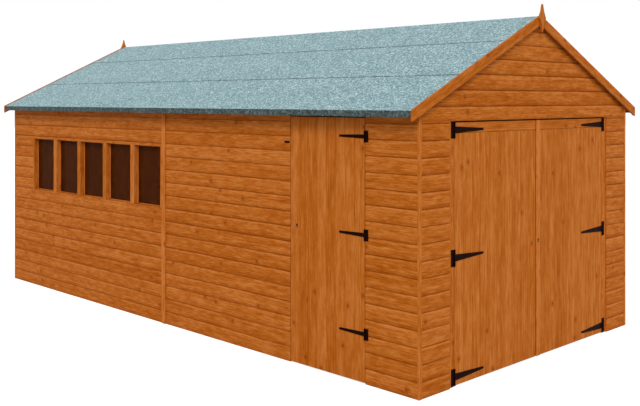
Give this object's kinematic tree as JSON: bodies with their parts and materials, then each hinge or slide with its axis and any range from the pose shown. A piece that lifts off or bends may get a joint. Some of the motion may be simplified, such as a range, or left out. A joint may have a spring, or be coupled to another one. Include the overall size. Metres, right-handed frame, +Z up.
{
  "type": "timber garage",
  "caption": "Shiplap timber garage with an apex felt roof, hinged double doors in the front gable, a hinged side door and a row of side windows.",
  "frame": {"origin": "centre of the building's plan, on the ground", "axes": "+Z up; +Y along the ridge from the double doors to the rear wall; the double doors face -Y and the windows face -X"},
  "size_m": [3.22, 6.146, 2.8435],
  "materials": {
    "wood": "stained softwood, satin",
    "inner_wood": "planed softwood, matt",
    "felt": "mineral felt, rough",
    "glass": "clear, polished",
    "iron": "black japanned, satin"
  },
  "bodies": {
    "root": {"left_rear_cladding": "wood", "left_front_cladding": "wood", "left_door_head_cladding": "wood", "right_rear_cladding": "wood", "right_front_cladding": "wood", "front_side_cladding": "wood", "front_gable_cladding": "wood", "rear_cladding": "wood", "left_rear_frame": "inner_wood", "left_front_frame": "inner_wood", "left_door_lintel": "inner_wood", "right_rear_frame": "inner_wood", "right_front_frame": "inner_wood", "door_post_frames": "wood", "front_gable_frame": "wood", "rear_frame": "inner_wood", "corner_strips": "wood", "panel_joint_strips": "wood", "window_frame": "wood", "window_panes": "glass", "left_roof_boards": "inner_wood", "right_roof_boards": "inner_wood", "roof_purlins": "inner_wood", "ridge_beam": "inner_wood", "truss_tie_beam": "inner_wood", "truss_rafters": "inner_wood", "eaves_battens": "wood", "felt_eaves_strips": "felt", "felt_middle_strips": "felt", "felt_ridge_strip": "felt", "bargeboards": "wood", "finials": "wood", "side_hinge_plates": "iron", "turn_button": "iron", "front_hinge_plates": "iron"},
    "side_door": {"side_door_boards": "wood", "side_door_ledges": "inner_wood", "side_door_straps": "iron", "side_door_lock": "iron"},
    "left_leaf": {"left_leaf_boards": "wood", "left_leaf_ledges": "inner_wood", "left_leaf_straps": "iron"},
    "right_leaf": {"right_leaf_boards": "wood", "right_leaf_ledges": "inner_wood", "right_leaf_straps": "iron", "meeting_strip": "wood", "front_door_lock": "iron"}
  },
  "joints": [
    {"name": "side_door_hinge", "type": "hinge", "parent": "root", "child": "side_door", "pos_m": [-1.501, -2.51, 0], "axis": [0, 0, 1], "range_deg": [0, 135]},
    {"name": "left_leaf_hinge", "type": "hinge", "parent": "root", "child": "left_leaf", "pos_m": [-1.08, -3.009, 0], "axis": [0, 0, -1], "range_deg": [0, 170]},
    {"name": "right_leaf_hinge", "type": "hinge", "parent": "root", "child": "right_leaf", "pos_m": [1.08, -3.009, 0], "axis": [0, 0, 1], "range_deg": [0, 170]}
  ]
}
